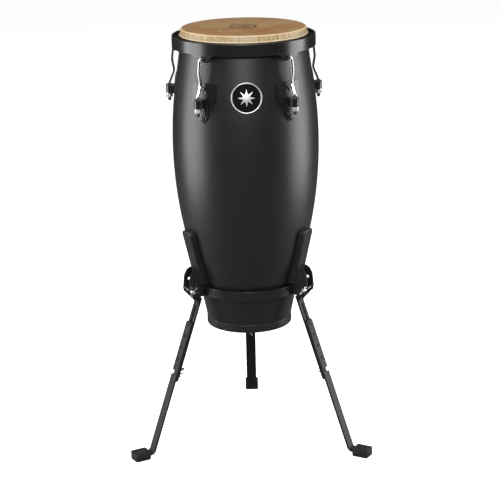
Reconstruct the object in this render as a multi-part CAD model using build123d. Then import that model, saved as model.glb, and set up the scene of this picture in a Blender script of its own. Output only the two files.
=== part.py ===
from build123d import *
import math
import os

# A conga drum standing in a three-legged basket stand.
#
# Each repeated piece is modelled in the plane that runs out from the drum's axis: X is the
# distance from the axis, Y is sideways and Z is the height above the floor. turned() then
# puts it at its place around the axis. An azimuth of 0 faces -Y, the player's side, and
# +90 faces +X. All sizes are in millimetres.

# Stand as a whole: the rear leg reaches back further than the two front legs reach forward,
# so the axis lies in front of the middle of the footprint, which is the origin.
LEG_AZIMUTHS = {"front_left": -60, "front_right": 60, "rear": 180}
NEAR_SIDE = {"front_left": 1, "front_right": -1, "rear": 1}  # the side with the wing nut
SHOE_END = 326.0
SHOE_WIDTH = 33.0
FRONT_REACH = SHOE_END * math.cos(math.radians(60)) + SHOE_WIDTH / 2 * math.sin(math.radians(60))
AXIS_Y = (FRONT_REACH - SHOE_END) / 2

# Drum shell
DRUM_BASE = 296.0
DRUM_HEIGHT = 713.5
SHELL_TOP = DRUM_BASE + DRUM_HEIGHT
WALL = 9.0
BASE_FLANGE = 3.0
SHELL_BASE = DRUM_BASE + BASE_FLANGE
BELLY_RADIUS = 172.3  # the shell's widest place, and its height
BELLY_Z = DRUM_BASE + 442.0
BELLY_ARC = 1010.0
FLARE_ARC = 3100.0  # the hollow curve below the belly
FLARE_LEAN = math.radians(14.4)  # lean of the side where the two curves meet
NECK_LEAN = math.radians(8.5)  # lean of the straight side above the belly
DRUM_TURN = 1.9  # how far the drum is set down turned in its basket, degrees

# Rubber ring round the bottom edge
BOTTOM_RING_RADIUS = 102.3
BOTTOM_RING_HEIGHT = 19.0
BOTTOM_RING_WALL = 3.8
BOTTOM_RING_MOUTH = 88.0

# Head: skin, flesh hoop and rim
SKIN = 2.5
HOOP_RADIUS = 156.5
HOOP_ROD = 3.5
HOOP_Z = 976.5
RIM_RADIUS = 167.0
RIM_WALL = 4.0
RIM_LOW = 968.5
RIM_HIGH = 996.0
LIP_RADIUS = 155.8
LIP_LOW = HOOP_Z + HOOP_ROD + 2.0
LIP_THICKNESS = 3.5
EAR_LOW = 953.0
EAR_TOP_WIDTH = 59.0
EAR_LOW_WIDTH = 28.0
HOOK_EYE_Z = 961.5
HOOK_EYE = 4.75

# Lugs: plate, bracket, hook, washer and nut
LUG_AZIMUTHS = {"front_left": -36, "front_right": 36, "side_left": -108, "side_right": 108, "rear": 180}
PLATE = 3.0
PLATE_GAP = 0.1
PLATE_HIGH = 905.0
PLATE_STEP = 862.0
PLATE_TIP = 815.0
PLATE_WIDTH = 62.0
PLATE_FOOT_WIDTH = 29.0
HOOK_AXIS = 186.0
HOOK_ROD = 3.75
HOOK_END = 832.0
BRACKET_LOW = 850.0
BRACKET_HIGH = 871.0
BRACKET_WIDTH = 21.0
BRACKET_CENTRE = 183.5
BRACKET_BORE = 4.1
NUT_FLATS = 14.0
NUT_HEIGHT = 8.0
WASHER = 1.2
RUNNING = 0.06  # radial clearance of a nut on its rod
LUG_BOLT_HEIGHTS = (824.0, 893.0)
LUG_BOLT = 3.0

# Badge on the shell's front
BADGE_Z = 874.5
BADGE_RADIUS = 35.0
BADGE_RING = 3.4
BADGE_FACE = 1.3
BADGE_RELIEF = 2.2
STAR_POINTS = 8
STAR_OUTER = 20.0
STAR_INNER = 8.0

# Basket ring and leg brackets
RING_RADIUS = 132.0
RING_STRIP = 3.0
RING_LOW = 385.2
RING_HIGH = 407.4
CHEEK_INSIDE = 13.0
CHEEK = 3.0
WEB_LOW = 383.5
WEB_HIGH = 411.0
STOP_BOLT_AT = (163.0, 400.0)
SPARE_HOLE_AT = (155.0, 424.0)
SMALL_BOLT = 3.0
PIVOT_AT = (143.5, 391.0)
PIVOT_PIN = 4.0

# Arms that hold the drum, with their rubber sleeves
ARM_WIDTH = 25.0
ARM = 4.0
ARM_FOOT = 126.3
ARM_BEND = 409.0
ARM_LEAN = 14.3
ARM_TOP = 540.0
PAD_WIDTH = 42.0
PAD_LOW = (137.0, 412.0)
PAD_HIGH = (170.0, 545.0)
PAD_GAP = 0.3
RIVET = 2.5
RIVET_Z = 400.0
RIVET_Y = 5.0

# Legs, in their own plane: along the leg from the pivot, and out from the pivot's line
LEG_LEAN = 20.0
LEG_WIDTH = 25.0
LEG_BAR = 5.0
LEG_FACE = -8.0  # outer face of the upper leg
LEG_GAP = 0.2  # between the two legs
UPPER_START = 9.0
UPPER_END = 222.0
EYE = 8.0
EAR_INSIDE = 9.5
EAR = 3.0
HOLE_PITCH = 30.0
HEIGHT_BOLT_AT = 199.0
GUIDE_AT = HEIGHT_BOLT_AT - 4 * HOLE_PITCH
LOWER_START = GUIDE_AT - 7.0
HOLE = 3.5
SLOT_WIDTH = 6.6
SLOT_TRAVEL_UP = 45.0
SLOT_TRAVEL_DOWN = 10.0
ANKLE_RADIUS = 12.0
FOOT_Z = 10.0
FOOT_END = 321.0

# Rubber shoes
SHOE_START = 287.0
SHOE_HEIGHT = 19.5

# Wing nuts
WING_HUB = 5.5
WING_HEIGHT = 7.0
WING_SPAN = 14.0
WING_THICKNESS = 2.4


def round_axis(part, turn=0.0):
    """A piece that goes all the way round the drum's axis, at its place."""
    return Pos(0, AXIS_Y, 0) * Rot(0, 0, turn) * part


def turned(part, azimuth):
    """A piece modelled in the outward plane, at its place around the drum's axis."""
    return round_axis(part, azimuth - 90)


def spun(points):
    """Solid of revolution about the drum's axis of a closed outline of (radius, height)."""
    return revolve(Plane.XZ * make_face(Polyline(*points, close=True)), Axis.Z)


def side_plate(face, thickness, y=0.0):
    """A face drawn as (X, Z), made into a plate centred on y."""
    return Pos(0, y, 0) * extrude(Plane.XZ * face, thickness / 2, both=True)


def outward_prism(points, low, high):
    """Outline of (Y, Z) points carried outwards between two distances from the axis."""
    return extrude(Plane.YZ.offset(low) * Polygon(*points, align=None), high - low, dir=(1, 0, 0))


def along_y(radius, low, high, x, z):
    """Rod that runs sideways between two values of Y."""
    return Pos(x, (low + high) / 2, z) * Rot(90, 0, 0) * Cylinder(radius, high - low)


def along_x(radius, low, high, y, z):
    """Rod that runs outwards between two distances from the axis."""
    return Pos((low + high) / 2, y, z) * Rot(0, 90, 0) * Cylinder(radius, high - low)


def tube(outer, inner, low, high, x=0.0):
    """Upright tube between two heights."""
    ring = Circle(outer) - Circle(inner)
    return Pos(x, 0, low) * extrude(ring, high - low)


def hex_nut(flats, height, bore):
    """Hexagon nut standing on Z = 0, with its corners turned down at both ends."""
    corner = flats / math.sqrt(3)
    body = extrude(RegularPolygon(corner, 6) - Circle(bore), height)
    turning = chamfer(Cylinder(corner, height, align=(Align.CENTER, Align.CENTER, Align.MIN)).edges()
                      .filter_by(GeomType.CIRCLE), 0.8)
    return (body & turning).solid()


def wing_nut(bore):
    """Wing nut standing on Z = 0: a tapered hub with two wings that rise outwards."""
    hub = extrude(Circle(WING_HUB), WING_HEIGHT, taper=6)
    wing = Polygon((2, 1), (WING_HUB + 1, 1.2), (WING_SPAN, 6.5), (WING_SPAN, 12), (WING_SPAN - 5, 12),
                   (WING_HUB - 1, 6.2), (2, 6.2), align=None)
    wing = fillet(wing.vertices().sort_by(Axis.X)[-3:], 1.9)
    wings = side_plate(wing, WING_THICKNESS) + side_plate(mirror(wing, Plane.YZ), WING_THICKNESS)
    return (hub + wings - Cylinder(bore, 3 * WING_HEIGHT)).solid()


def belly_point(angle, grow):
    """Point on the belly's arc, whose centre is level with the widest place."""
    radius = BELLY_ARC + grow
    return (BELLY_RADIUS - BELLY_ARC + radius * math.cos(angle), BELLY_Z + radius * math.sin(angle))


def flare_point(angle, grow):
    """Point on the hollow arc that runs on from the belly's lower end."""
    meet = belly_point(-FLARE_LEAN, 0)
    centre = (meet[0] + FLARE_ARC * math.cos(FLARE_LEAN), meet[1] - FLARE_ARC * math.sin(FLARE_LEAN))
    radius = FLARE_ARC - grow
    return (centre[0] - radius * math.cos(angle), centre[1] + radius * math.sin(angle))


def flare_angle(z, grow):
    """Angle of the hollow arc's point at a height."""
    return math.asin((z - flare_point(0, grow)[1]) / (FLARE_ARC - grow))


def barrel(grow=0.0):
    """Everything inside the shell's outer surface, moved out by grow."""
    start = flare_angle(SHELL_BASE, grow)
    flare = [flare_point(angle, grow) for angle in (start, (start + FLARE_LEAN) / 2, FLARE_LEAN)]
    belly = [belly_point(angle, grow) for angle in (-FLARE_LEAN, 0, NECK_LEAN)]
    neck = belly[-1]
    top = (neck[0] - (SHELL_TOP - neck[1]) * math.tan(NECK_LEAN), SHELL_TOP)
    edges = [ThreePointArc(*flare), ThreePointArc(*belly), Line(neck, top),
             Polyline(top, (0, SHELL_TOP), (0, SHELL_BASE), flare[0])]
    return revolve(Plane.XZ * make_face(edges), Axis.Z)


def shell_radius(z):
    """Outer radius of the shell at a height above the neck's start or on the belly."""
    neck_start = belly_point(NECK_LEAN, 0)
    if z > neck_start[1]:
        return neck_start[0] - (z - neck_start[1]) * math.tan(NECK_LEAN)
    return belly_point(math.asin((z - BELLY_Z) / BELLY_ARC), 0)[0]


# --- drum ---


def shell():
    """Barrel-shaped stave shell, with a rounded bearing edge and a rebate for the rubber ring."""
    body = barrel() - barrel(-WALL)
    for azimuth in LUG_AZIMUTHS.values():
        for z in LUG_BOLT_HEIGHTS:
            body -= Rot(0, 0, azimuth - 90) * along_x(LUG_BOLT + 0.2, 120, 190, 0, z)
    inside = BOTTOM_RING_RADIUS - BOTTOM_RING_WALL
    body -= tube(BOTTOM_RING_RADIUS + 10, inside, DRUM_BASE, DRUM_BASE + BOTTOM_RING_HEIGHT)
    rounded = body.edges().filter_by(GeomType.CIRCLE).group_by(Axis.Z)[-1].sort_by(SortBy.RADIUS)
    return fillet(rounded[-1], 4).solid()


def shell_bottom_ring():
    """Rubber ring with an L-shaped section that protects the shell's bottom edge."""
    inside = BOTTOM_RING_RADIUS - BOTTOM_RING_WALL
    top = DRUM_BASE + BOTTOM_RING_HEIGHT
    floor = DRUM_BASE + BASE_FLANGE
    section = [(BOTTOM_RING_MOUTH, DRUM_BASE), (BOTTOM_RING_RADIUS - 1.5, DRUM_BASE),
               (BOTTOM_RING_RADIUS, DRUM_BASE + 1.5), (BOTTOM_RING_RADIUS, top - 1),
               (BOTTOM_RING_RADIUS - 1, top), (inside, top), (inside, floor), (BOTTOM_RING_MOUTH, floor)]
    return spun(section).solid()


def shell_layer(low, high):
    """Thin layer that follows the shell, between two distances from its surface."""
    return barrel(high) - barrel(low)


def lug_plate():
    """Steel plate bent to the shell: wide at the top, stepped in to a pointed foot."""
    half, foot = PLATE_WIDTH / 2, PLATE_FOOT_WIDTH / 2
    right = [(half - 5, PLATE_HIGH), (half, PLATE_HIGH - 6), (half, PLATE_STEP), (foot, PLATE_STEP - 11),
             (foot, PLATE_TIP + 14), (5, PLATE_TIP)]
    left = [(-y, z) for y, z in reversed(right)]
    plate = shell_layer(PLATE_GAP, PLATE_GAP + PLATE) & outward_prism(right + left, 120, 200)
    for z in LUG_BOLT_HEIGHTS:
        plate -= along_x(LUG_BOLT + 0.2, 120, 190, 0, z)
    return plate.solid()


def lug_bracket():
    """Steel block on the plate with the upright bore that the hook runs through."""
    reach = BRACKET_CENTRE - 150
    block = Pos(150 + reach / 2, 0) * Rectangle(reach, BRACKET_WIDTH) + Pos(BRACKET_CENTRE, 0) * Circle(
        BRACKET_WIDTH / 2)
    block -= Pos(HOOK_AXIS, 0) * Circle(BRACKET_BORE)
    body = Pos(0, 0, BRACKET_LOW) * extrude(block, BRACKET_HIGH - BRACKET_LOW)
    body -= barrel(PLATE_GAP + PLATE)
    ends = body.edges().filter_by(GeomType.CIRCLE).filter_by(lambda e: e.radius > BRACKET_BORE + 1)
    return chamfer(ends, 1.2).solid()


def lug_bolt(z):
    """Low round-headed bolt from outside through the plate and the shell."""
    surface = shell_radius(z)
    head = along_x(5.5, surface - 2, surface + PLATE + 3.2, 0, z)
    head = fillet(head.edges().filter_by(GeomType.CIRCLE).sort_by(Axis.X)[-1], 2)
    head -= barrel(PLATE_GAP + PLATE)
    return (head + along_x(LUG_BOLT, surface - WALL - 9, surface + PLATE + 1, 0, z)).solid()


def lug_flange_nut(z):
    """Nut with a broad flange that draws the bolt up inside the shell."""
    surface = shell_radius(z) - WALL
    flange = along_x(9, surface - 2.5, surface + 3, 0, z) & barrel(-WALL)
    nut = Pos(surface - 8, 0, z) * Rot(0, 90, 0) * hex_nut(10, 6.5, LUG_BOLT)
    return (flange + nut - along_x(LUG_BOLT, surface - 20, surface + 20, 0, z)).solid()


def tuning_washer():
    return tube(7.6, HOOK_ROD + 0.3, BRACKET_LOW - WASHER, BRACKET_LOW, HOOK_AXIS).solid()


def tuning_nut():
    """Hexagon nut that pulls the hook down against the bracket."""
    low = BRACKET_LOW - WASHER - NUT_HEIGHT
    return Pos(HOOK_AXIS, 0, low) * hex_nut(NUT_FLATS, NUT_HEIGHT, HOOK_ROD + RUNNING)


def badge():
    """Round badge bent to the shell, with a raised ring and a plain raised star."""
    disc = along_x(BADGE_RADIUS, 130, 190, 0, BADGE_Z)
    ring = disc - along_x(BADGE_RADIUS - BADGE_RING, 130, 190, 0, BADGE_Z)
    star = []
    for i in range(2 * STAR_POINTS):
        radius = STAR_INNER if i % 2 else STAR_OUTER
        angle = math.pi * i / STAR_POINTS
        star.append((radius * math.sin(angle), BADGE_Z + radius * math.cos(angle)))
    relief = outward_prism(star, 130, 190) + ring
    face = shell_layer(PLATE_GAP, BADGE_FACE) & disc
    return (face + (shell_layer(BADGE_FACE / 2, BADGE_RELIEF) & relief)).solid()


# --- head and rim ---


def drum_skin():
    """Skin drawn over the bearing edge and tucked round the flesh hoop."""
    collar = HOOP_Z + 5
    crest = SHELL_TOP + SKIN
    under = FilletPolyline((0, SHELL_TOP), (143.9, SHELL_TOP), (148.3, RIM_HIGH), (151.2, collar), radius=4)
    upper = FilletPolyline((0, crest), (145.6, crest), (150.9, RIM_HIGH), (154.0, collar), radius=6)
    sheet = make_face([under, Line(under @ 1, upper @ 1), upper, Line(upper @ 0, under @ 0)])
    collar_end = Polygon((151.2, collar), (151.6, collar - 3), (153.8, collar - 1), (154.0, collar),
                         align=None)
    hoop = Pos(HOOP_RADIUS, HOOP_Z)
    tuck = hoop * (Circle(HOOP_ROD + 2) - Circle(HOOP_ROD))
    tuck -= hoop * Pos(0, -HOOP_ROD) * Rectangle(2, 2 * HOOP_ROD)
    turns = [revolve(Plane.XZ * outline, Axis.Z) for outline in (sheet, collar_end, tuck)]
    return (turns[0] + turns[1] + turns[2]).solid()


def flesh_hoop():
    """Round steel hoop inside the skin's tuck."""
    return revolve(Plane.XZ * (Pos(HOOP_RADIUS, HOOP_Z) * Circle(HOOP_ROD - 0.05)), Axis.Z).solid()


def rim():
    """Steel band with an inner lip that bears down on the tucked hoop."""
    inside = RIM_RADIUS - RIM_WALL
    lip_high = LIP_LOW + LIP_THICKNESS
    section = [(RIM_RADIUS, RIM_LOW), (RIM_RADIUS, RIM_HIGH), (inside, RIM_HIGH), (inside, lip_high),
               (LIP_RADIUS, lip_high), (LIP_RADIUS, LIP_LOW), (inside, LIP_LOW), (inside, RIM_LOW)]
    band = spun(section)
    edges = band.edges().filter_by(GeomType.CIRCLE)
    return fillet(edges.group_by(Axis.Z)[-1], 1.9).solid()


def rim_ear():
    """Tapered ear under the band, with the hole that the hook catches."""
    inside = RIM_RADIUS - RIM_WALL
    top, low = EAR_TOP_WIDTH / 2, EAR_LOW_WIDTH / 2
    outline = [(top, RIM_LOW), (-top, RIM_LOW), (-low - 2, EAR_LOW + 3), (-low, EAR_LOW), (low, EAR_LOW),
               (low + 2, EAR_LOW + 3)]
    ear = tube(RIM_RADIUS, inside, EAR_LOW, RIM_LOW) & outward_prism(outline, 140, 180)
    return (ear - along_x(HOOK_EYE, 150, 180, 0, HOOK_EYE_Z)).solid()


def tension_hook():
    """Round rod bent over at the top to catch the ear, bowed out, then straight down the lug."""
    tip = HOOK_EYE_Z - 8.5
    corners = [(158, tip), (158, HOOK_EYE_Z), (174.5, HOOK_EYE_Z), (178.5, 930), (173.5, 905),
               (HOOK_AXIS, 876), (HOOK_AXIS, HOOK_END)]
    path = Plane.XZ * FilletPolyline(*corners, radius=[5, 5, 30, 20, 20])
    section = Plane(path @ 0, z_dir=path % 0) * Circle(HOOK_ROD)
    rod = sweep(section, path=path)
    ends = rod.edges().filter_by(GeomType.CIRCLE)
    end_rings = [ends.sort_by(Axis.Z)[0], ends.filter_by_position(Axis.Z, tip - 0.1, tip + 0.1)[0]]
    return chamfer(end_rings, 1.2).solid()


# --- basket ---


def basket_ring():
    """Flat steel strip rolled into the ring that joins the legs and the arms."""
    inside = RING_RADIUS - RING_STRIP
    band = tube(RING_RADIUS, inside, RING_LOW, RING_HIGH)
    band = fillet(band.edges().filter_by(GeomType.CIRCLE), 0.7)
    for azimuth in LEG_AZIMUTHS.values():
        for y in (-RIVET_Y, RIVET_Y):
            band -= Rot(0, 0, azimuth - 90) * along_x(RIVET, 120, 145, y, RIVET_Z)
    return band.solid()


def leg_bracket():
    """Two cheeks and a web, bent from one plate, riveted to the ring."""
    cheek = Polygon((RING_RADIUS, WEB_LOW), (154, WEB_LOW), (168.5, 394), (170.5, 404), (167, 434),
                    (160, 447), (150, 452), (148, 452), (PAD_LOW[0] + 1.2, PAD_LOW[1]),
                    (RING_RADIUS, WEB_HIGH - 2), align=None)
    corners = cheek.vertices().filter_by_position(Axis.X, 153, 173)
    cheek = fillet(corners, 5)
    offset = CHEEK_INSIDE + CHEEK / 2
    web = Polygon((RING_RADIUS, WEB_LOW), (RING_RADIUS + CHEEK, WEB_LOW), (RING_RADIUS + CHEEK, WEB_HIGH),
                  (RING_RADIUS, WEB_HIGH - 2), align=None)
    body = side_plate(cheek, CHEEK, offset) + side_plate(cheek, CHEEK, -offset)
    body += side_plate(web, 2 * CHEEK_INSIDE + CHEEK)
    body -= along_y(PIVOT_PIN + 0.02, -30, 30, *PIVOT_AT)
    body -= along_y(SMALL_BOLT + 0.1, -30, 30, *STOP_BOLT_AT)
    body -= along_y(HOLE, -30, 30, *SPARE_HOLE_AT)
    for y in (-RIVET_Y, RIVET_Y):
        body -= along_x(RIVET, 120, 145, y, RIVET_Z)
    return body.solid()


def arm_profile():
    """Side outline of an arm: upright against the ring, then leaning out."""
    reach = (ARM_TOP - ARM_BEND) * math.tan(math.radians(ARM_LEAN))
    corners = [(ARM_FOOT, RING_LOW), (ARM_FOOT, ARM_BEND), (ARM_FOOT + reach, ARM_TOP)]
    return trace(FilletPolyline(*corners, radius=14), ARM)


def support_arm(clearance=0.0):
    """Flat steel arm that carries one rubber sleeve."""
    arm = side_plate(arm_profile(), ARM_WIDTH + clearance)
    if clearance:
        return arm
    for y in (-RIVET_Y, RIVET_Y):
        arm -= along_x(RIVET, 110, 145, y, RIVET_Z)
    return arm.solid()


def arm_pad():
    """Thick rubber sleeve over the arm, shaped to the shell on its inner face."""
    outline = Polygon((PAD_LOW[0] - 30, PAD_LOW[1]), PAD_LOW, PAD_HIGH, (PAD_HIGH[0] - 40, PAD_HIGH[1]),
                      align=None)
    block = side_plate(outline, PAD_WIDTH)
    lean = Vector(PAD_HIGH[0] - PAD_LOW[0], 0, PAD_HIGH[1] - PAD_LOW[1])
    long_edges = block.edges().filter_by(Axis((0, 0, 0), lean)).sort_by(Axis.X)[-2:]
    block = fillet(long_edges, 5)
    block = fillet(block.faces().sort_by(Axis.Z)[-1].edges(), 4.5)
    return (block - barrel(PAD_GAP) - support_arm(0.02)).solid()


def arm_rivet(y):
    """Rivet through the arm's foot, the ring and the bracket's web."""
    inner, outer = ARM_FOOT - ARM / 2, RING_RADIUS + CHEEK
    shank = along_x(RIVET, inner - 1, outer + 1, y, RIVET_Z)
    heads = [fillet(along_x(4, inner - 1.6, inner, y, RIVET_Z).edges().sort_by(Axis.X)[0], 1.2),
             fillet(along_x(4, outer, outer + 1.5, y, RIVET_Z).edges().sort_by(Axis.X)[-1], 1.2)]
    return (shank + heads[0] + heads[1]).solid()


def pivot_pin():
    """Headed pin that the leg turns on."""
    outside = CHEEK_INSIDE + CHEEK
    pin = along_y(PIVOT_PIN, -outside - 1, outside + 1, *PIVOT_AT)
    for low, end in ((-outside - 2.6, 0), (outside, -1)):
        head = along_y(6.5, low, low + 2.6, *PIVOT_AT)
        pin += fillet(head.edges().filter_by(GeomType.CIRCLE).sort_by(Axis.Y)[end], 1.8)
    return pin.solid()


def stop_bolt(side):
    """Bolt across the bracket that the leg's heel rests on, headed on the side away from its wing nut."""
    outside = CHEEK_INSIDE + CHEEK
    low, high = sorted((-side * (outside + 1), side * (outside + 12)))
    bolt = along_y(SMALL_BOLT, low, high, *STOP_BOLT_AT)
    head = Rot(90 * side, 0, 0) * hex_nut(10, 4, 0.5)
    return (bolt + Pos(STOP_BOLT_AT[0], -side * outside, STOP_BOLT_AT[1]) * head).solid()


def stop_wing_nut(side):
    """Wing nut that clamps the bracket's cheeks."""
    outside = CHEEK_INSIDE + CHEEK + 0.3
    nut = Rot(0, 0, 55) * wing_nut(SMALL_BOLT + RUNNING)
    return Pos(STOP_BOLT_AT[0], side * outside, STOP_BOLT_AT[1]) * Rot(-90 * side, 0, 0) * nut


# --- legs ---

# X runs down along the leg from the pivot, Y sideways, Z out from the pivot's line
LEAN_SIN = math.sin(math.radians(LEG_LEAN))
LEAN_COS = math.cos(math.radians(LEG_LEAN))
LEG_PLANE = Plane((PIVOT_AT[0], 0, PIVOT_AT[1]), x_dir=(LEAN_SIN, 0, -LEAN_COS),
                  z_dir=(LEAN_COS, 0, LEAN_SIN))
LOWER_CENTRE = LEG_FACE + LEG_GAP + LEG_BAR / 2


def slab(start, end, low, high, width):
    """Flat bar in the leg's plane."""
    return Pos((start + end) / 2, 0, (low + high) / 2) * Box(end - start, width, high - low)


def upper_leg():
    """Slotted flat bar with two ears that hold the pivot and a heel that meets the stop bolt."""
    bar = slab(UPPER_START, UPPER_END, LEG_FACE - LEG_BAR, LEG_FACE, LEG_WIDTH)
    ends = bar.edges().filter_by(Axis.Z).sort_by(Axis.X)[-2:]
    bar = fillet(ends, 7)
    bar = fillet(bar.faces().filter_by(Axis.Z).edges(), 0.8)
    start = GUIDE_AT - SLOT_TRAVEL_UP - 1
    end = HEIGHT_BOLT_AT + SLOT_TRAVEL_DOWN + 1
    slot = SlotCenterToCenter(end - start, SLOT_WIDTH)
    bar -= Pos((start + end) / 2, 0, LEG_FACE - LEG_BAR - 1) * extrude(slot, LEG_BAR + 2)
    ear = Circle(EYE) + Polygon((0, LEG_FACE), (0, 0), (-4, 6.9), (1.6, 12), (1.6, 24.5), (5.5, 22.5),
                                (12, 12), (20, -4), (24, LEG_FACE - 1), (UPPER_START, LEG_FACE - 1),
                                (UPPER_START, LEG_FACE), align=None)
    ear -= Circle(PIVOT_PIN + 0.05)
    offset = EAR_INSIDE + EAR / 2
    return (bar + side_plate(ear, EAR, offset) + side_plate(ear, EAR, -offset)).solid()


def lower_leg():
    """Flat bar with a row of holes, bent flat at the bottom to carry the shoe."""
    ankle = (PIVOT_AT[1] - FOOT_Z + LOWER_CENTRE * LEAN_SIN) / LEAN_COS
    foot = FOOT_END - PIVOT_AT[0] - ankle * LEAN_SIN - LOWER_CENTRE * LEAN_COS
    toe = (ankle + foot * LEAN_SIN, LOWER_CENTRE + foot * LEAN_COS)
    path = FilletPolyline((LOWER_START, LOWER_CENTRE), (ankle, LOWER_CENTRE), toe, radius=ANKLE_RADIUS)
    bar = side_plate(trace(path, LEG_BAR), LEG_WIDTH)
    bar = fillet(bar.edges().filter_by(Axis.Z).sort_by(Axis.X)[:2], 7)
    bar = fillet(bar.faces().filter_by(Axis.Z).sort_by(SortBy.AREA)[-2:].edges().filter_by(Axis.X), 0.8)
    for i in range(5):
        bar -= Pos(HEIGHT_BOLT_AT - i * HOLE_PITCH, 0, LOWER_CENTRE) * Cylinder(HOLE, 3 * LEG_BAR)
    return bar.solid()


def guide_screw():
    """Shouldered screw at the top of the lower leg that runs in the upper leg's slot."""
    outside = LEG_FACE + LEG_GAP + LEG_BAR
    inside = LEG_FACE - LEG_BAR - 0.3
    screw = Pos(0, 0, (inside + outside) / 2) * Cylinder(SMALL_BOLT, outside - inside + 2)
    head = Pos(0, 0, outside + 1.5) * Cylinder(5.5, 3)
    head = fillet(head.edges().sort_by(Axis.Z)[-1], 2)
    shoe = Pos(0, 0, inside - 1.25) * Cylinder(6, 2.5)
    return (Pos(GUIDE_AT, 0, 0) * (screw + head + shoe)).solid()


def height_bolt():
    """Bolt through both legs, headed on the outer side."""
    outside = LEG_FACE + LEG_GAP + LEG_BAR
    inside = LEG_FACE - LEG_BAR - 13
    shank = Pos(0, 0, (inside + outside + 1) / 2) * Cylinder(SMALL_BOLT, outside + 1 - inside)
    head = Pos(0, 0, outside) * hex_nut(10, 4.5, 0.5)
    return (Pos(HEIGHT_BOLT_AT, 0, 0) * (shank + head)).solid()


def height_wing_nut():
    """Wing nut that clamps the two legs together, on the inner side."""
    nut = Rot(180, 0, 0) * Rot(0, 0, 20) * wing_nut(SMALL_BOLT + RUNNING)
    return Pos(HEIGHT_BOLT_AT, 0, LEG_FACE - LEG_BAR - 0.3) * nut


def foot_shoe():
    """Rubber shoe over the leg's flat foot."""
    length = SHOE_END - SHOE_START
    block = Pos(SHOE_START + length / 2, 0, SHOE_HEIGHT / 2) * Box(length, SHOE_WIDTH, SHOE_HEIGHT)
    block = chamfer(block.edges().filter_by(Axis.Y).group_by(Axis.Z)[-1].sort_by(Axis.X)[-1], 6)
    block = fillet(block.edges().filter_by(Axis.Z), 3)
    block = fillet(block.faces().sort_by(Axis.Z)[-1].edges(), 1.5)
    depth = FOOT_END - SHOE_START + 5
    pocket = Pos(FOOT_END - depth / 2, 0, FOOT_Z) * Box(depth, LEG_WIDTH, LEG_BAR)
    return (block - pocket).solid()


# --- writing the pieces ---


def save(name, part):
    os.makedirs("parts", exist_ok=True)
    export_step(part, f"parts/{name}.step")


def save_all_round(name, part, places, turn=0.0):
    """One piece in each place, in one file as a group of separate solids."""
    save(name, Compound(children=[turned(part, azimuth + turn) for azimuth in places.values()]))


def main():
    save("shell", round_axis(shell(), DRUM_TURN))
    save("shell_bottom_ring", round_axis(shell_bottom_ring()))
    save("badge", turned(badge(), DRUM_TURN))
    save("drum_skin", round_axis(drum_skin()))
    save("flesh_hoop", round_axis(flesh_hoop()))
    save("rim", round_axis(rim()))
    save_all_round("rim_ears", rim_ear(), LUG_AZIMUTHS, DRUM_TURN)
    save_all_round("lug_brackets", lug_bracket(), LUG_AZIMUTHS, DRUM_TURN)
    save_all_round("tuning_washers", tuning_washer(), LUG_AZIMUTHS, DRUM_TURN)
    bolts = [lug_bolt(z) for z in LUG_BOLT_HEIGHTS]
    nuts = [lug_flange_nut(z) for z in LUG_BOLT_HEIGHTS]
    for name, pair in (("lug_bolts", bolts), ("lug_flange_nuts", nuts)):
        group = [turned(one, azimuth + DRUM_TURN) for azimuth in LUG_AZIMUTHS.values() for one in pair]
        save(name, Compound(children=group))
    each_lug = {"lug_plate": lug_plate(), "tension_hook": tension_hook(), "tuning_nut": tuning_nut()}
    for place, azimuth in LUG_AZIMUTHS.items():
        for name, part in each_lug.items():
            save(f"{name}_{place}", turned(part, azimuth + DRUM_TURN))

    save("basket_ring", round_axis(basket_ring()))
    pair = [arm_rivet(y) for y in (-RIVET_Y, RIVET_Y)]
    rivets = [turned(rivet, azimuth) for azimuth in LEG_AZIMUTHS.values() for rivet in pair]
    save("arm_rivets", Compound(children=rivets))
    save_all_round("pivot_pins", pivot_pin(), LEG_AZIMUTHS)
    stops = [turned(stop_bolt(NEAR_SIDE[place]), azimuth) for place, azimuth in LEG_AZIMUTHS.items()]
    save("stop_bolts", Compound(children=stops))
    in_leg_plane = {"upper_leg": upper_leg(), "lower_leg": lower_leg(), "guide_screw": guide_screw(),
                    "height_bolt": height_bolt(), "height_wing_nut": height_wing_nut()}
    each_leg = {name: LEG_PLANE * part for name, part in in_leg_plane.items()}
    each_leg.update(leg_bracket=leg_bracket(), support_arm=support_arm(), arm_pad=arm_pad(),
                    foot_shoe=foot_shoe())
    for place, azimuth in LEG_AZIMUTHS.items():
        for name, part in each_leg.items():
            save(f"{name}_{place}", turned(part, azimuth))
        save(f"stop_wing_nut_{place}", turned(stop_wing_nut(NEAR_SIDE[place]), azimuth))


main()
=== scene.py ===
import math

import bmesh
import bpy
from mathutils import Matrix, Vector, noise
from mathutils.bvhtree import BVHTree


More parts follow.
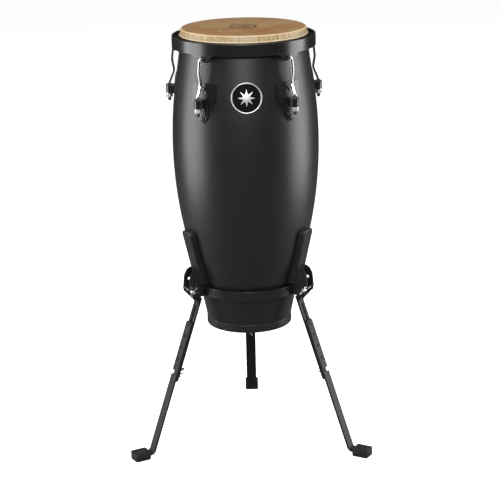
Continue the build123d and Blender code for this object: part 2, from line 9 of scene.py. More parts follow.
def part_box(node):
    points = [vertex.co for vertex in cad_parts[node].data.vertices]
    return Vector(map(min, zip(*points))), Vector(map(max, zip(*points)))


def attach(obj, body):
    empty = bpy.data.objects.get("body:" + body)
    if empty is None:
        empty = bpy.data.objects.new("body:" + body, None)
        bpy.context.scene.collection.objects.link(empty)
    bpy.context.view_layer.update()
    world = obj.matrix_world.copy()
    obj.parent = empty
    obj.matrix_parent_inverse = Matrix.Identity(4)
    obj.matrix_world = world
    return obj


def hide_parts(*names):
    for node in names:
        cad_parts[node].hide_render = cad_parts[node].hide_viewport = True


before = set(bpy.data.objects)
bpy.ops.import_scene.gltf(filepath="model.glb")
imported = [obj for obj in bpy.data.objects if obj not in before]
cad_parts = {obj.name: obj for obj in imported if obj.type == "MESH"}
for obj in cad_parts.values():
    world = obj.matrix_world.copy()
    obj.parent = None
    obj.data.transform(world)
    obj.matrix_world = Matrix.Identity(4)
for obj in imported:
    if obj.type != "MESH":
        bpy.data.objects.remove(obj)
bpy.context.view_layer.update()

# Looks of the conga drum and its basket stand. Metres, +Z up, the player's side faces -Y.
# Pieces repeated round the drum are modelled in the plane that runs out from its axis:
# X outward, Y sideways, Z height. place() then turns them to their azimuth.

MM = 0.001
WELD = 0.002 * MM
NEAR = 0.1 * MM


# --- places read from the frame ---


def middle(node):
    low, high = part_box(node)
    return (low + high) / 2


def half_width(node):
    """Outer radius of a piece that goes all the way round the axis."""
    low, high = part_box(node)
    return (high.x - low.x) / 2


def azimuth_of(node):
    """Direction in which a piece lies from the axis: 0 faces -Y and 90 degrees faces +X."""
    offset = middle(node) - AXIS
    return math.atan2(offset.x, -offset.y)


AXIS = middle("basket_ring")
AXIS.z = 0
LEG_PLACES = ("front_left", "front_right", "rear")

shell_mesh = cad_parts["shell"].data
shell_tree = BVHTree.FromPolygons([v.co for v in shell_mesh.vertices],
                                  [p.vertices for p in shell_mesh.polygons])


def shell_radius(z):
    """Outer radius of the shell at a height, between the lugs."""
    hit = shell_tree.ray_cast(AXIS + Vector((1, 0, z)), Vector((-1, 0, 0)))[0]
    return hit.x - AXIS.x


def reach(node, low, high):
    """Furthest distance from the axis of a node's points between two heights."""
    points = [v.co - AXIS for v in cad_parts[node].data.vertices if low <= v.co.z <= high]
    return max(math.hypot(p.x, p.y) for p in points)


def place(azimuth):
    """Carries the outward plane to its place round the axis."""
    return Matrix.Translation(AXIS) @ Matrix.Rotation(azimuth - math.pi / 2, 4, "Z")


# --- laying nodes ---


class Nodes:
    """Lays nodes in one tree: inputs are plain values or other nodes' outputs."""

    def __init__(self, tree):
        self.tree = tree

    def plug(self, value, socket):
        if isinstance(value, bpy.types.NodeSocket):
            self.tree.links.new(value, socket)
        else:
            socket.default_value = value

    def add(self, kind, inputs=(), **settings):
        node = self.tree.nodes.new("ShaderNode" + kind)
        for name, value in settings.items():
            setattr(node, name, value)
        for name, value in dict(inputs).items():
            self.plug(value, node.inputs[name])
        return node

    def math(self, operation, *values):
        node = self.add("Math", operation=operation)
        for value, socket in zip(values, node.inputs):
            self.plug(value, socket)
        return node.outputs[0]

    def vector(self, operation, *values):
        node = self.add("VectorMath", operation=operation)
        for value, socket in zip(values, node.inputs):
            self.plug(value, socket)
        return node

    def step(self, value, low, high):
        """0 below low and 1 above high, with a smooth way between them."""
        between = {"Value": value, "From Min": low, "From Max": high}
        return self.add("MapRange", between, interpolation_type="SMOOTHSTEP").outputs[0]

    def band(self, value, centre, half, soft):
        """1 near centre, falling to 0 on both sides."""
        away = self.math("ABSOLUTE", self.math("SUBTRACT", value, centre))
        return self.math("SUBTRACT", 1.0, self.step(away, half, half + soft))

    def mix(self, share, a, b):
        node = self.add("Mix", data_type="RGBA")
        for value, socket in zip((share, a, b), (node.inputs[0], node.inputs[6], node.inputs[7])):
            self.plug(value, socket)
        return node.outputs[2]

    def noise(self, coordinates, scale, detail=3.0):
        return self.add("TexNoise", {"Vector": coordinates, "Scale": scale, "Detail": detail}).outputs[0]

    def object_place(self):
        return self.add("TexCoord").outputs["Object"]

    def from_axis(self):
        """Place measured from the drum's axis."""
        return self.vector("SUBTRACT", self.object_place(), tuple(AXIS)).outputs[0]

    def group(self, tree, **values):
        node = self.add("Group", node_tree=tree)
        for name, value in values.items():
            self.plug(value, node.inputs[name.replace("_", " ").title()])
        return node


def colour(red, green, blue):
    return (red, green, blue, 1)


def new_group(name, inputs, outputs):
    """A shader node group of float sockets; returns its tree, its helper and its two ends."""
    tree = bpy.data.node_groups.new(name, "ShaderNodeTree")
    for label, value in inputs.items():
        tree.interface.new_socket(label, in_out="INPUT", socket_type="NodeSocketFloat").default_value = value
    for label in outputs:
        tree.interface.new_socket(label, in_out="OUTPUT", socket_type="NodeSocketFloat")
    return tree, Nodes(tree), tree.nodes.new("NodeGroupInput"), tree.nodes.new("NodeGroupOutput")


def build_grain_group():
    """Fine relief of a coated or moulded surface, with a slow variation over the piece."""
    tree, nodes, given, result = new_group("surface_grain", {"Scale": 900.0, "Drift Scale": 9.0},
                                           ("Height", "Drift"))
    at = nodes.object_place()
    nodes.plug(nodes.noise(at, given.outputs["Scale"]), result.inputs["Height"])
    nodes.plug(nodes.noise(at, given.outputs["Drift Scale"]), result.inputs["Drift"])
    return tree


def build_wear_group():
    """Mask of the edges where handling has thinned the finish."""
    tree, nodes, given, result = new_group("edge_wear", {"Radius": 0.0008, "Amount": 0.5}, ("Mask",))
    rounded = nodes.add("Bevel", {"Radius": given.outputs["Radius"]}, samples=4).outputs[0]
    flat = nodes.add("NewGeometry").outputs["Normal"]
    turn = nodes.math("SUBTRACT", 1.0, nodes.vector("DOT_PRODUCT", rounded, flat).outputs["Value"])
    patchy = nodes.step(nodes.noise(nodes.object_place(), 70.0, 5.0), 0.42, 0.68)
    edge = nodes.math("MULTIPLY", nodes.step(turn, 0.03, 0.22), patchy)
    nodes.plug(nodes.math("MULTIPLY", edge, given.outputs["Amount"]), result.inputs["Mask"])
    return tree


def build_dust_group():
    """Mask of the thin dust that settles on what faces up."""
    tree, nodes, given, result = new_group("settled_dust", {"Amount": 0.15}, ("Mask",))
    up = nodes.add("SeparateXYZ", {"Vector": nodes.add("NewGeometry").outputs["Normal"]}).outputs["Z"]
    patchy = nodes.step(nodes.noise(nodes.object_place(), 35.0, 6.0), 0.35, 0.75)
    lying = nodes.math("MULTIPLY", nodes.step(up, 0.45, 0.95), patchy)
    nodes.plug(nodes.math("MULTIPLY", lying, given.outputs["Amount"]), result.inputs["Mask"])
    return tree


grain_group = build_grain_group()
wear_group = build_wear_group()
dust_group = build_dust_group()


# --- materials ---

BARE_STEEL = colour(0.30, 0.30, 0.29)
DUST = colour(0.16, 0.15, 0.14)


def new_material(name, roughness, metallic=0.0, specular=0.5):
    """An empty finish; returns the material, its nodes and its shader."""
    material = bpy.data.materials.new(name)
    material.use_nodes = True
    shader = material.node_tree.nodes["Principled BSDF"]
    shader.inputs["Roughness"].default_value = roughness
    shader.inputs["Metallic"].default_value = metallic
    shader.inputs["Specular IOR Level"].default_value = specular
    return material, Nodes(material.node_tree), shader


def relief(nodes, shader, height, distance, strength=1.0):
    bump = nodes.add("Bump", {"Height": height, "Distance": distance, "Strength": strength})
    nodes.plug(bump.outputs[0], shader.inputs["Normal"])


def coated(name, dark, light, roughness, spread, grain, depth, wear=0.4, dust=0.12, specular=0.5):
    """Black coating on steel or rubber: fine relief, uneven gloss, thin dust and rubbed edges."""
    material, nodes, shader = new_material(name, roughness, specular=specular)
    surface = nodes.group(grain_group, scale=grain)
    base = nodes.mix(nodes.step(surface.outputs["Drift"], 0.3, 0.7), dark, light)
    base = nodes.mix(nodes.group(dust_group, amount=dust).outputs["Mask"], base, DUST)
    if wear:
        base = nodes.mix(nodes.group(wear_group, amount=wear).outputs["Mask"], base, BARE_STEEL)
    nodes.plug(base, shader.inputs["Base Color"])
    gloss = nodes.math("MULTIPLY_ADD", surface.outputs["Drift"], spread, roughness - spread / 2)
    nodes.plug(gloss, shader.inputs["Roughness"])
    relief(nodes, shader, surface.outputs["Height"], depth)
    return material


def bright_metal(name, base, roughness, spread, grain, depth):
    """Plated or brushed metal with faint smears in its gloss."""
    material, nodes, shader = new_material(name, roughness, metallic=1.0)
    surface = nodes.group(grain_group, scale=grain, drift_scale=60.0)
    worn = tuple(0.8 * c for c in base[:3]) + (1,)
    nodes.plug(nodes.mix(surface.outputs["Drift"], base, worn), shader.inputs["Base Color"])
    gloss = nodes.math("MULTIPLY_ADD", surface.outputs["Drift"], spread, roughness - spread / 2)
    nodes.plug(gloss, shader.inputs["Roughness"])
    relief(nodes, shader, surface.outputs["Height"], depth)
    return material


def around(nodes, place_from_axis, turns, climb):
    """Coordinates that run round the axis and up it, for grain that follows the staves."""
    parts = nodes.add("SeparateXYZ", {"Vector": place_from_axis})
    angle = nodes.math("ARCTAN2", parts.outputs["Y"], parts.outputs["X"])
    across = nodes.math("MULTIPLY", nodes.math("ABSOLUTE", angle), turns)
    up = nodes.math("MULTIPLY", parts.outputs["Z"], climb)
    side = nodes.math("SIGN", parts.outputs["Y"])
    return nodes.add("CombineXYZ", {"X": across, "Y": up, "Z": side}).outputs[0]


LACQUER_DEEP, LACQUER_WORN = colour(0.0050, 0.0052, 0.0056), colour(0.0085, 0.0086, 0.0090)
STAVE_BROWN, STAVE_PALE = colour(0.42, 0.25, 0.12), colour(0.62, 0.42, 0.23)
STAVE_PORE = colour(0.22, 0.12, 0.06)
PLATED_ROD, DARK_ROD_END = colour(0.50, 0.50, 0.51), colour(0.10, 0.10, 0.10)


def stave_lacquer():
    """Satin black lacquer over upright wood grain outside, pale bare staves inside."""
    material, nodes, shader = new_material("satin_black_lacquer", 0.36)
    from_axis = nodes.from_axis()
    flat = nodes.vector("MULTIPLY", from_axis, (1, 1, 0)).outputs[0]
    outward = nodes.vector("NORMALIZE", flat).outputs[0]
    facing = nodes.vector("DOT_PRODUCT", outward, nodes.add("TexCoord").outputs["Normal"]).outputs["Value"]
    outside = nodes.step(facing, -0.05, 0.05)
    grain = nodes.noise(around(nodes, from_axis, 60.0, 9.0), 1.0, 6.0)
    pores = nodes.noise(around(nodes, from_axis, 420.0, 25.0), 1.0, 2.0)
    surface = nodes.group(grain_group, scale=1400.0, drift_scale=5.0)
    black = nodes.mix(grain, LACQUER_DEEP, LACQUER_WORN)
    wood = nodes.mix(nodes.step(grain, 0.3, 0.7), STAVE_BROWN, STAVE_PALE)
    wood = nodes.mix(nodes.step(pores, 0.62, 0.75), wood, STAVE_PORE)
    nodes.plug(nodes.mix(outside, wood, black), shader.inputs["Base Color"])
    sheen = nodes.math("MULTIPLY_ADD", surface.outputs["Drift"], 0.06, 0.335)
    rough = nodes.math("MULTIPLY_ADD", outside, nodes.math("SUBTRACT", sheen, 0.6), 0.6)
    nodes.plug(rough, shader.inputs["Roughness"])
    height = nodes.math("ADD", nodes.math("MULTIPLY", pores, 0.6), nodes.math("MULTIPLY", grain, 0.4))
    height = nodes.math("ADD", height, nodes.math("MULTIPLY", surface.outputs["Height"], 0.25))
    relief(nodes, shader, height, 0.00006)
    return material


FACE_RUST, FACE_TAN = colour(0.245, 0.108, 0.036), colour(0.285, 0.180, 0.076)
FACE_FLECK = colour(0.37, 0.245, 0.125)
COLLAR_BROWN, COLLAR_STRAW = colour(0.230, 0.150, 0.068), colour(0.42, 0.325, 0.185)
COLLAR_THREAD = colour(0.17, 0.105, 0.045)
WORN_CREST, ROLLED_EDGE = colour(0.52, 0.42, 0.25), colour(0.66, 0.56, 0.38)
# The last dark brown is painted shade, laid on the collar below the rolled edge.
PAINTED_SHADE_BROWN, MARK_INK = colour(0.022, 0.010, 0.005), colour(0.055, 0.036, 0.026)


def hide():
    """Natural hide: mottled tan playing face, pale worn crest, a streaky stretched collar and painted shade
    below its rolled edge.
    """
    material, nodes, shader = new_material("natural_hide", 0.42)
    from_axis = nodes.from_axis()
    parts = nodes.add("SeparateXYZ", {"Vector": from_axis})
    flat = nodes.vector("MULTIPLY", from_axis, (1, 1, 0)).outputs[0]
    radius = nodes.vector("LENGTH", flat).outputs["Value"]
    slow = nodes.noise(from_axis, 11.0, 4.0)
    fine = nodes.noise(from_axis, 120.0, 6.0)
    face = nodes.mix(nodes.step(slow, 0.36, 0.64), FACE_RUST, FACE_TAN)
    face = nodes.mix(nodes.math("MULTIPLY", nodes.step(fine, 0.42, 0.75), 0.45), face, FACE_FLECK)
    streaks = nodes.noise(around(nodes, from_axis, 26.0, 30.0), 1.0, 6.0)
    threads = nodes.noise(around(nodes, from_axis, 130.0, 40.0), 1.0, 3.0)
    collar = nodes.mix(nodes.step(streaks, 0.36, 0.66), COLLAR_BROWN, COLLAR_STRAW)
    collar = nodes.mix(nodes.math("MULTIPLY", nodes.step(threads, 0.5, 0.75), 0.5), collar, COLLAR_THREAD)
    depth = nodes.math("MULTIPLY", parts.outputs["Z"], -1.0)
    below = nodes.step(depth, -(CREST - 2.4 * MM), -(CREST - 5.5 * MM))
    base = nodes.mix(below, face, collar)
    worn = nodes.band(radius, CREST_RADIUS, 0.9 * MM, 1.6 * MM)
    worn = nodes.math("MULTIPLY", worn, nodes.math("MULTIPLY_ADD", nodes.step(slow, 0.3, 0.6), 0.35, 0.55))
    worn = nodes.math("MULTIPLY", worn, nodes.step(parts.outputs["Z"], CREST - 4 * MM, CREST - 2.5 * MM))
    base = nodes.mix(worn, base, WORN_CREST)
    roll = nodes.band(parts.outputs["Z"], ROLL_Z, 0.8 * MM, 0.9 * MM)
    base = nodes.mix(roll, base, ROLLED_EDGE)
    # Painted shade: the collar below the rolled edge is coloured dark brown where the rim shades it.
    painted_shade = nodes.math("SUBTRACT", 1.0, nodes.step(parts.outputs["Z"], ROLL_Z - 2.2 * MM, ROLL_Z - 1.0 * MM))
    base = nodes.mix(painted_shade, base, PAINTED_SHADE_BROWN)
    base = nodes.mix(printed_mark(nodes, parts, radius), base, MARK_INK)
    nodes.plug(base, shader.inputs["Base Color"])
    nodes.plug(nodes.math("MULTIPLY_ADD", fine, 0.2, 0.34), shader.inputs["Roughness"])
    height = nodes.math("ADD", fine, nodes.math("MULTIPLY", nodes.math("MULTIPLY", threads, below), 0.8))
    relief(nodes, shader, height, 0.00018)
    return material


def printed_mark(nodes, parts, radius):
    """Faded print in the middle of the head: a ring round a plain eight-lobed rosette."""
    lobe_count, lobe_height, rosette, ring_radius = 8.0, 5.0 * MM, 15.0 * MM, 29.0 * MM
    angle = nodes.math("ARCTAN2", parts.outputs["Y"], parts.outputs["X"])
    lobes = nodes.math("COSINE", nodes.math("MULTIPLY", angle, lobe_count))
    edge = nodes.math("MULTIPLY_ADD", lobes, lobe_height, rosette)
    inside = nodes.step(nodes.math("SUBTRACT", edge, radius), 0.0, 1.2 * MM)
    ring = nodes.band(radius, ring_radius, 2.6 * MM, 1.0 * MM)
    printed = nodes.math("MAXIMUM", nodes.math("MULTIPLY", inside, 0.75), ring)
    faded = nodes.step(nodes.noise(nodes.object_place(), 160.0, 4.0), 0.20, 0.52)
    return nodes.math("MULTIPLY", nodes.math("MULTIPLY", printed, faded), 0.95)


def screw_rod():
    """Chrome of the hooks, with a thread cut along their lower ends, which are coloured dark grey."""
    material, nodes, shader = new_material("chrome_hook", 0.1, metallic=1.0)
    height = nodes.add("SeparateXYZ", {"Vector": nodes.object_place()}).outputs["Z"]
    threaded = nodes.math("SUBTRACT", 1.0, nodes.step(height, THREAD_TOP - 0.5 * MM, THREAD_TOP))
    surface = nodes.group(grain_group, scale=600.0, drift_scale=50.0)
    # The threaded lower end of each hook is coloured dark grey.
    nodes.plug(nodes.mix(threaded, PLATED_ROD, DARK_ROD_END), shader.inputs["Base Color"])
    gloss = nodes.math("MULTIPLY_ADD", surface.outputs["Drift"], 0.08, 0.05)
    nodes.plug(nodes.math("MULTIPLY_ADD", threaded, 0.3, gloss), shader.inputs["Roughness"])
    cut = nodes.math("SINE", nodes.math("MULTIPLY", height, 2 * math.pi / THREAD_PITCH))
    relief(nodes, shader, nodes.math("MULTIPLY", cut, threaded), 0.0003)
    return material


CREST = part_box("drum_skin")[1].z
SHELL_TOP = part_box("shell")[1].z
RIM_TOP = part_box("rim")[1].z
CREST_RADIUS = shell_radius(SHELL_TOP - 5 * MM) + 1.2 * MM
ROLL_Z = RIM_TOP + 0.6 * MM
THREAD_PITCH = 1.25 * MM
THREAD_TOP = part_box("lug_brackets")[1].z + 4 * MM

lacquer = stave_lacquer()
powder_coat = coated("black_powder_coat", colour(0.0065, 0.0063, 0.0060), colour(0.0125, 0.0120, 0.0110),
                     0.22, 0.08, 520.0, 0.00012)
leg_coat = coated("black_leg_coat", colour(0.0065, 0.0060, 0.0055), colour(0.0125, 0.0112, 0.0100),
                  0.34, 0.08, 520.0, 0.00012, specular=0.3)
gloss_enamel = coated("black_gloss_enamel", colour(0.007, 0.007, 0.007), colour(0.014, 0.014, 0.014),
                      0.13, 0.06, 210.0, 0.00045, wear=0.25)
rubber = coated("moulded_black_rubber", colour(0.0050, 0.0045, 0.0042), colour(0.0095, 0.0086, 0.0080),
                0.46, 0.14, 1500.0, 0.00010, wear=0.0, dust=0.15)
chrome = bright_metal("polished_chrome", colour(0.93, 0.93, 0.94), 0.20, 0.08, 700.0, 0.00001)
satin_chrome = bright_metal("satin_chrome", colour(0.95, 0.95, 0.96), 0.42, 0.08, 900.0, 0.00002)
zinc = bright_metal("bright_zinc", colour(0.80, 0.80, 0.82), 0.28, 0.12, 900.0, 0.00003)
badge_enamel = coated("badge_enamel", colour(0.003, 0.003, 0.003), colour(0.005, 0.005, 0.005),
                      0.12, 0.04, 900.0, 0.00002, wear=0.0, dust=0.03)
badge_silver = bright_metal("badge_silver", colour(0.60, 0.60, 0.60), 0.42, 0.10, 1500.0, 0.00002)

FINISHES = {
    "shell": lacquer,
    "rim": powder_coat, "basket_ring": powder_coat, "leg_bracket": powder_coat, "support_arm": powder_coat,
    "upper_leg": leg_coat, "lower_leg": leg_coat, "pivot_pins": powder_coat, "arm_rivets": powder_coat,
    "lug_plate": gloss_enamel, "lug_brackets": gloss_enamel, "lug_bolts": gloss_enamel,
    "tension_hook": screw_rod(), "tuning_nut": satin_chrome, "tuning_washers": satin_chrome,
    "stop_wing_nut": chrome, "height_wing_nut": chrome, "stop_bolts": chrome,
    "height_bolt": satin_chrome, "guide_screw": powder_coat,
    "lug_flange_nuts": zinc, "flesh_hoop": zinc,
}


def dress_frame():
    """Gives every CAD node its finish, by the longest name that fits it."""
    for name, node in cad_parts.items():
        fitting = [key for key in FINISHES if name.startswith(key)]
        if fitting:
            for slot in node.material_slots:
                slot.material = FINISHES[max(fitting, key=len)]


# --- making pieces ---


def make_piece(name, bm, material, body, replaced=()):
    """Closes, turns outward and shades a bmesh, and lets it ride on its body."""
    bmesh.ops.remove_doubles(bm, verts=bm.verts, dist=WELD)
    bmesh.ops.recalc_face_normals(bm, faces=bm.faces)
    mesh = bpy.data.meshes.new(name)
    bm.to_mesh(mesh)
    bm.free()
    mesh.materials.append(material)
    mesh.shade_smooth()
    mesh.set_sharp_from_angle(angle=math.radians(40))
    piece = bpy.data.objects.new(name, mesh)
    bpy.context.scene.collection.objects.link(piece)
    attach(piece, body)
    if replaced:
        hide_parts(*replaced)
    return piece


def lathe(outline, steps=240, closed=True):
    """Outline of (radius, height) points spun round Z, about the origin."""
    bm = bmesh.new()
    points = [bm.verts.new((radius, 0, height)) for radius, height in outline]
    pairs = list(zip(points, points[1:]))
    if closed:
        pairs.append((points[-1], points[0]))
    edges = [bm.edges.new(pair) for pair in pairs]
    bmesh.ops.spin(bm, geom=points + edges, cent=(0, 0, 0), axis=(0, 0, 1), angle=2 * math.pi,
                   steps=steps, use_merge=True, use_normal_flip=False, use_duplicate=False)
    bmesh.ops.remove_doubles(bm, verts=bm.verts, dist=WELD)
    return bm


def arc(centre, radius, start, end, count=8):
    """Points along an arc between two angles in degrees."""
    angles = [math.radians(start + (end - start) * i / (count - 1)) for i in range(count)]
    return [(centre[0] + radius * math.cos(a), centre[1] + radius * math.sin(a)) for a in angles]


def round_edges(bm, edges, width, segments=4):
    bmesh.ops.bevel(bm, geom=edges, offset=width, offset_type="OFFSET", affect="EDGES", segments=segments,
                    profile=0.5, material=-1, clamp_overlap=True)


def sharp_edges(bm, least=50):
    return [e for e in bm.edges if e.calc_face_angle(0) > math.radians(least)]


COLLAR_PULL = 0.0022


def drum_hide():
    """Hide drawn over the bearing edge, with a stretched collar that rolls out over the hoop."""
    hoop_low, hoop_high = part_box("flesh_hoop")
    rod = (hoop_high.z - hoop_low.z) / 2
    hoop = (half_width("flesh_hoop") - rod, hoop_low.z + rod)
    skin, crest_round, roll_round = 1.9 * MM, 6 * MM, 1.2 * MM
    tuck = rod + skin
    crest_centre = (CREST_RADIUS - 4.2 * MM, CREST - crest_round)
    roll = (hoop[0] - 8.2 * MM, ROLL_Z)
    foot = (hoop[0] - 4.0 * MM, hoop[1] + 6 * MM)
    face = [(0, CREST)] + [(share * crest_centre[0], CREST) for share in (0.3, 0.6, 0.85)]
    outline = face + arc(crest_centre, crest_round, 90, 18, 9)
    outline += [(roll[0] - 0.6 * MM, roll[1] + 2.4 * MM)] + arc(roll, roll_round, 50, -60, 7)
    outline += [(roll[0] + 0.4 * MM, roll[1] - 2.0 * MM), foot]
    outline += arc(hoop, tuck, 110, -85, 14) + arc(hoop, rod, -85, 165, 14)
    outline += [(foot[0] - 2.4 * MM, foot[1]), (roll[0] - 2.2 * MM, ROLL_Z)]
    outline += [(crest_centre[0] + 2.2 * MM, SHELL_TOP), (0, SHELL_TOP)]
    bm = lathe(outline, steps=360, closed=False)
    for v in bm.verts:
        if v.co.z < CREST - 3 * MM and math.hypot(v.co.x, v.co.y) > crest_centre[0]:
            angle = math.atan2(v.co.y, v.co.x)
            pull = noise.noise(Vector((14 * math.cos(angle), 14 * math.sin(angle), v.co.z * 20)))
            v.co.xy *= 1 + COLLAR_PULL * pull
    bm.transform(Matrix.Translation(AXIS))
    return make_piece("drum_hide", bm, hide(), "head", ["drum_skin"])


def bottom_ring_rubber():
    """Rubber ring round the shell's bottom edge, with rounded edges and two moulded grooves."""
    low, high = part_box("shell_bottom_ring")
    outer, wall, floor, mouth = half_width("shell_bottom_ring"), 3.8 * MM, 3.0 * MM, 88.0 * MM
    sole_round, top_round = 2 * MM, 1.5 * MM
    groove_depth, groove_top, groove_bed = 0.8 * MM, 0.7 * MM, 0.3 * MM
    outline = [(mouth, low.z)] + arc((outer - sole_round, low.z + sole_round), sole_round, -90, 0, 6)
    for z in (low.z + 6.5 * MM, high.z - 4.0 * MM):
        outline += [(outer, z - groove_top), (outer - groove_depth, z - groove_bed),
                    (outer - groove_depth, z + groove_bed), (outer, z + groove_top)]
    outline += arc((outer - top_round, high.z - top_round), top_round, 0, 90, 5)
    outline += [(outer - wall, high.z), (outer - wall, low.z + floor), (mouth, low.z + floor)]
    bm = lathe(outline)
    bm.transform(Matrix.Translation(AXIS))
    return make_piece("bottom_ring_rubber", bm, rubber, "drum", ["shell_bottom_ring"])


def slice_across(bm, normal, distances):
    """Cuts a whole mesh by parallel planes so that it can be bent afterwards."""
    for distance in distances:
        every = bm.verts[:] + bm.edges[:] + bm.faces[:]
        bmesh.ops.bisect_plane(bm, geom=every, plane_co=distance * Vector(normal), plane_no=normal)


def arm_sleeve(name):
    """Thick rubber sleeve shaped to the shell, with a rounded crown and edges and a sunk outer panel."""
    node = f"arm_pad_{name}"
    low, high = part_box(node)
    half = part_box("arm_pad_rear")[1].x
    cad_round, crown_round, edge_round = 5 * MM, 11 * MM, 4.5 * MM
    panel_edge, panel_depth = 2.0 * MM, 1.0 * MM
    foot = math.sqrt(reach(node, low.z, low.z + 3 * MM) ** 2 - (half - cad_round) ** 2)
    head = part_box("arm_pad_rear")[1].y - AXIS.y
    gap, top = 0.4 * MM, high.z
    back = math.sqrt((shell_radius(low.z) + gap) ** 2 - half ** 2) - 3 * MM
    bm = bmesh.new()
    bmesh.ops.create_cube(bm, size=1)
    for v in bm.verts:
        share = v.co.z + 0.5
        outer = foot + share * (head - foot)
        v.co = (outer if v.co.x > 0 else back, 2 * half * v.co.y, low.z + share * (top - low.z))
    crown = [e for e in bm.edges if all(v.co.z > top - MM for v in e.verts)
             and abs(e.verts[0].co.y - e.verts[1].co.y) < MM]
    round_edges(bm, crown, crown_round, 8)
    lean = math.atan2(head - foot, top - low.z)
    out = Vector((math.cos(lean), 0, -math.sin(lean)))
    bm.normal_update()
    front = max(bm.faces, key=lambda f: f.normal.dot(out))
    rounded = [e for e in front.edges if any(v.co.z > low.z + MM for v in e.verts)]
    round_edges(bm, rounded, edge_round, 5)
    bm.normal_update()
    front = max(bm.faces, key=lambda f: f.normal.dot(out) * f.calc_area())
    bmesh.ops.inset_region(bm, faces=[front], thickness=panel_edge, depth=-panel_depth, use_even_offset=True)
    rows, columns = 24, 6
    slice_across(bm, (0, 0, 1), [low.z + i * (top - low.z) / rows for i in range(1, rows)])
    slice_across(bm, (0, 1, 0), [half * i / columns for i in range(1 - columns, columns)])
    for v in bm.verts:
        if v.co.x < back + NEAR:
            v.co.x = math.sqrt((shell_radius(v.co.z) + gap) ** 2 - v.co.y ** 2)
    bm.transform(place(azimuth_of(node)))
    return make_piece(f"arm_sleeve_{name}", bm, rubber, "basket", [node])


def rubber_boot(name):
    """Rubber boot of a leg: chamfered toe, rounded edges, sunk top panel and a groove over its sole."""
    node = f"foot_shoe_{name}"
    low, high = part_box("foot_shoe_rear")
    start, end = low.y - AXIS.y, high.y - AXIS.y
    size = Vector((end - start, high.x - low.x, high.z - low.z))
    corner, toe_chamfer, edge_round = 3.0 * MM, 6.0 * MM, 1.3 * MM
    groove_low, groove_high = 4.2 * MM, 5.4 * MM
    bm = bmesh.new()
    bmesh.ops.create_cube(bm, size=1)
    bm.transform(Matrix.Translation(((start + end) / 2, 0, size.z / 2)) @ Matrix.Diagonal((*size, 1)))
    upright = [e for e in bm.edges if abs(e.verts[0].co.z - e.verts[1].co.z) > MM]
    round_edges(bm, upright, corner, 5)
    toe = [e for e in bm.edges
           if all(v.co.x > end - NEAR and v.co.z > size.z - NEAR for v in e.verts)]
    round_edges(bm, toe, toe_chamfer, 1)
    for z in (groove_low, groove_high):
        every = bm.verts[:] + bm.edges[:] + bm.faces[:]
        bmesh.ops.bisect_plane(bm, geom=every, plane_co=(0, 0, z), plane_no=(0, 0, 1))
    round_edges(bm, sharp_edges(bm, 35), edge_round, 3)
    groove = [f for f in bm.faces if 4.0 * MM < f.calc_center_median().z < 5.6 * MM and abs(f.normal.z) < 0.1]
    bmesh.ops.inset_region(bm, faces=groove, thickness=0.2 * MM, depth=-0.7 * MM, use_even_offset=True)
    top = [f for f in bm.faces if f.normal.z > 0.999 and f.calc_center_median().z > size.z - MM]
    bmesh.ops.inset_region(bm, faces=top, thickness=2.2 * MM, depth=-0.7 * MM, use_even_offset=True)
    bm.transform(place(azimuth_of(node)))
    return make_piece(f"rubber_boot_{name}", bm, rubber, f"lower_leg_{name}", [node])


def bend_to_shell(bm, azimuth, height):
    """Lays flat work (X sideways, Y up, Z out) on the shell's surface."""
    for v in bm.verts:
        radius = shell_radius(height + v.co.y)
        angle = math.asin(v.co.x / radius)
        out = radius + v.co.z
        v.co = (out * math.cos(angle), out * math.sin(angle), height + v.co.y)
    bm.transform(place(azimuth))


def badge_pieces():
    """Enamel disc with a bright rounded ring and a plain eight-pointed star."""
    azimuth, centre = azimuth_of("badge"), middle("badge").z
    low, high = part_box("badge")
    outer = (high.z - low.z) / 2
    ring, back = 3.4 * MM, 0.2 * MM
    face, edge, middle_ring = 1.2 * MM, 2.1 * MM, outer - ring / 2
    inner = outer - ring + 0.4 * MM
    shares = (0.2, 0.4, 0.6, 0.8, 1.0)
    front_side = [(share * inner, face) for share in shares]
    back_side = [(share * inner, back) for share in reversed(shares)]
    disc = lathe([(0, face), *front_side, *back_side, (0, back)], 96, False)
    bend_to_shell(disc, azimuth, centre)
    make_piece("badge_disc", disc, badge_enamel, "drum", ["badge"])
    hoop = [(middle_ring + ring / 2 * math.cos(a), face / 2 + (edge - face / 2) * math.sin(a))
            for a in (math.pi * i / 8 for i in range(9))]
    band = lathe([(outer, back), *hoop, (outer - ring, back)], 144)
    bend_to_shell(band, azimuth, centre)
    make_piece("badge_ring", band, badge_silver, "drum")
    star = bmesh.new()
    star_points, star_radius, waist_share = 8, 20 * MM, 0.40
    made = bmesh.ops.create_circle(star, cap_ends=True, cap_tris=True, segments=2 * star_points,
                                   radius=star_radius)
    rays = [v for v in made["verts"] if v.co.length > MM]
    for v in rays:
        waist = round(math.atan2(v.co.x, v.co.y) / (math.pi / star_points)) % 2
        v.co *= waist_share if waist else 1.0
        v.co.z = face + 0.15 * MM
    hub = [v for v in star.verts if v.co.length < 5 * MM]
    for v in hub:
        v.co.z = edge + 0.3 * MM
    raised = bmesh.ops.extrude_face_region(star, geom=star.faces[:])["geom"]
    for v in [v for v in raised if isinstance(v, bmesh.types.BMVert)]:
        v.co.z = face - 0.5 * MM
    bend_to_shell(star, azimuth, centre)
    make_piece("badge_star", star, badge_silver, "drum")


# --- studio ---


def soft_light(name, at, target, width, height, power, tint=(1, 1, 1)):
    """Rectangular studio light that faces its target."""
    data = bpy.data.lights.new(name, "AREA")
    data.shape = "RECTANGLE"
    data.size, data.size_y, data.energy, data.color = width, height, power, tint
    lamp = bpy.data.objects.new(name, data)
    lamp.location = at
    lamp.visible_camera = False
    lamp.rotation_euler = (Vector(target) - Vector(at)).to_track_quat("-Z", "Y").to_euler()
    bpy.context.scene.collection.objects.link(lamp)


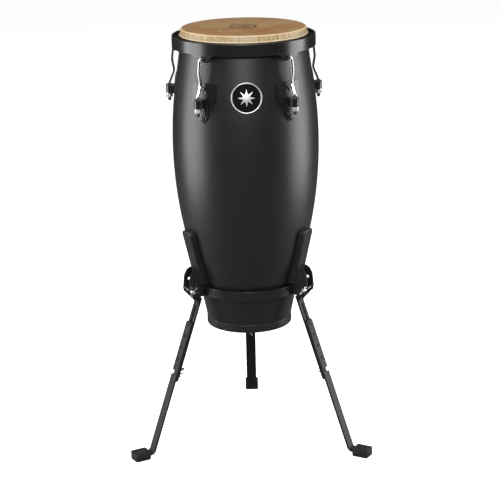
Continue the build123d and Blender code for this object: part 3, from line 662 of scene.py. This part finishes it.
def studio():
    """Pale floor, dim surroundings, a tall light on each side, one in front and one overhead."""
    drum = AXIS + Vector((0, 0, 0.72))
    soft_light("left_strip", drum + Vector((-1.9, -0.15, 0.0)), drum, 1.3, 2.3, 56, (0.97, 0.99, 1.0))
    soft_light("right_strip", drum + Vector((1.9, 0.05, 0.0)), drum, 1.1, 2.3, 49, (0.97, 0.99, 1.0))
    soft_light("front_box", drum + Vector((-0.1, -3.2, 1.7)), drum, 1.2, 0.5, 100, (1.0, 0.99, 0.97))
    soft_light("overhead", drum + Vector((0.0, -0.5, 2.6)), drum, 2.6, 2.6, 58)

    world = bpy.data.worlds.new("surroundings")
    world.use_nodes = True
    bpy.context.scene.world = world
    nodes = Nodes(world.node_tree)
    seen = nodes.add("LightPath").outputs["Is Camera Ray"]
    nodes.plug(nodes.mix(seen, colour(0.12, 0.12, 0.124), colour(1, 1, 1)),
               world.node_tree.nodes["Background"].inputs["Color"])

    bm = bmesh.new()
    bmesh.ops.create_grid(bm, x_segments=1, y_segments=1, size=20)
    mesh = bpy.data.meshes.new("studio_floor")
    bm.to_mesh(mesh)
    bm.free()
    floor = bpy.data.objects.new("studio_floor", mesh)
    floor.location.z = -0.2 * MM
    bpy.context.scene.collection.objects.link(floor)
    material, nodes, shader = new_material("pale_floor", 0.9)
    seen = nodes.add("LightPath").outputs["Is Camera Ray"]
    dim_floor, pale_floor = colour(0.16, 0.16, 0.16), colour(0.90, 0.90, 0.90)
    nodes.plug(nodes.mix(seen, dim_floor, pale_floor), shader.inputs["Base Color"])
    nodes.plug(nodes.mix(seen, colour(0, 0, 0), colour(1, 1, 1)), shader.inputs["Emission Color"])
    shader.inputs["Emission Strength"].default_value = 0.84
    mesh.materials.append(material)


def camera():
    """Long lens a little above the drum, in front of it."""
    distance, height = 3.6716, 1.5599
    turn, roll = math.radians(0.54), -0.0204
    at = AXIS + Vector((distance * math.sin(turn), -distance * math.cos(turn), height))
    aim_aside, aim_height = 0.0048, 0.4720
    target = AXIS + Vector((aim_aside, 0, aim_height))
    forward = (target - at).normalized()
    level = forward.cross(Vector((0, 0, 1))).normalized()
    above = level.cross(forward)
    right = math.cos(roll) * level + math.sin(roll) * above
    up = math.cos(roll) * above - math.sin(roll) * level
    data = bpy.data.cameras.new("camera")
    data.sensor_width = 36.0
    data.lens = 114.5
    seen_from = bpy.data.objects.new("camera", data)
    turned = Matrix((right, up, -forward)).transposed().to_4x4()
    seen_from.matrix_world = Matrix.Translation(at) @ turned
    bpy.context.scene.collection.objects.link(seen_from)
    bpy.context.scene.camera = seen_from
    bpy.context.scene.view_settings.view_transform = "Standard"


dress_frame()
drum_hide()
bottom_ring_rubber()
for name in LEG_PLACES:
    arm_sleeve(name)
    rubber_boot(name)
badge_pieces()
studio()
camera()
